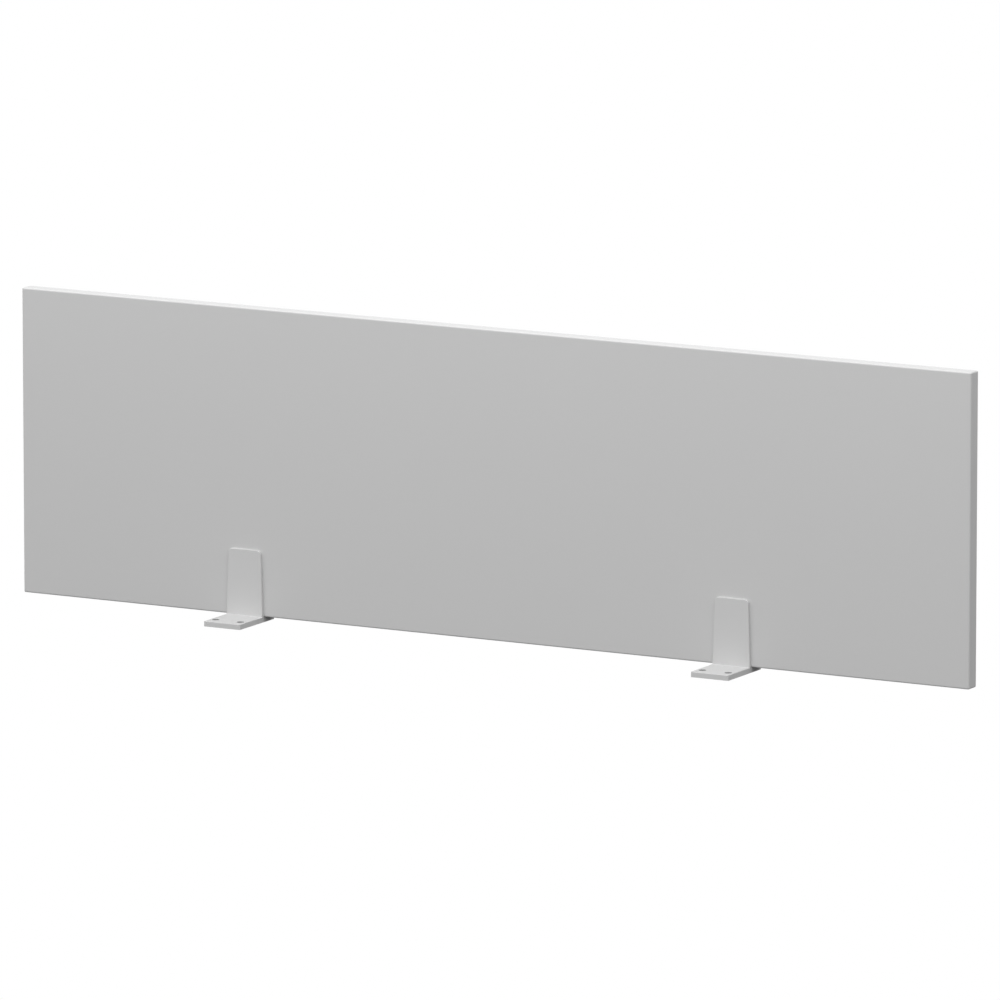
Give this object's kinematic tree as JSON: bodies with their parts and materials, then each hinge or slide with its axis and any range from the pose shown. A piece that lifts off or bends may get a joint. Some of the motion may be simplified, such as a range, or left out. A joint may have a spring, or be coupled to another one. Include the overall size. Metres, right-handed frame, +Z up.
{
  "type": "desk privacy panel",
  "caption": "Laminated board with rounded edge bands that stands across a desk on cast metal brackets, clamped from behind and screwed down through flat feet.",
  "frame": {"origin": "on the desk top, midway along the board, midway between the front and rear edges of the feet", "axes": "+X along the board, -Y towards the person at the desk, where the feet reach out, +Z up"},
  "size_m": [1.2, 0.0786, 0.356],
  "materials": {
    "chipboard": "pressed raw chipboard, hidden inside the board",
    "board_face": "light grey melamine with a fine pearl grain, matte",
    "edge_band": "light grey edge banding, satin, scraped and buffed radius",
    "bracket_paint": "light grey powder coat with a fine orange peel, matte",
    "zinc_steel": "bright zinc plated",
    "cap_plastic": "moulded light grey plastic, satin"
  },
  "bodies": {
    "root": {"panel_core": "chipboard", "front_face": "board_face", "rear_face": "board_face", "top_band": "edge_band", "bottom_band": "edge_band", "left_band": "edge_band", "right_band": "edge_band", "left_bracket": "bracket_paint", "right_bracket": "bracket_paint", "left_lower_screw": "zinc_steel", "left_upper_screw": "zinc_steel", "right_lower_screw": "zinc_steel", "right_upper_screw": "zinc_steel", "left_lower_washer": "zinc_steel", "left_upper_washer": "zinc_steel", "right_lower_washer": "zinc_steel", "right_upper_washer": "zinc_steel", "left_lower_cap": "cap_plastic", "left_upper_cap": "cap_plastic", "right_lower_cap": "cap_plastic", "right_upper_cap": "cap_plastic"}
  },
  "joints": []
}
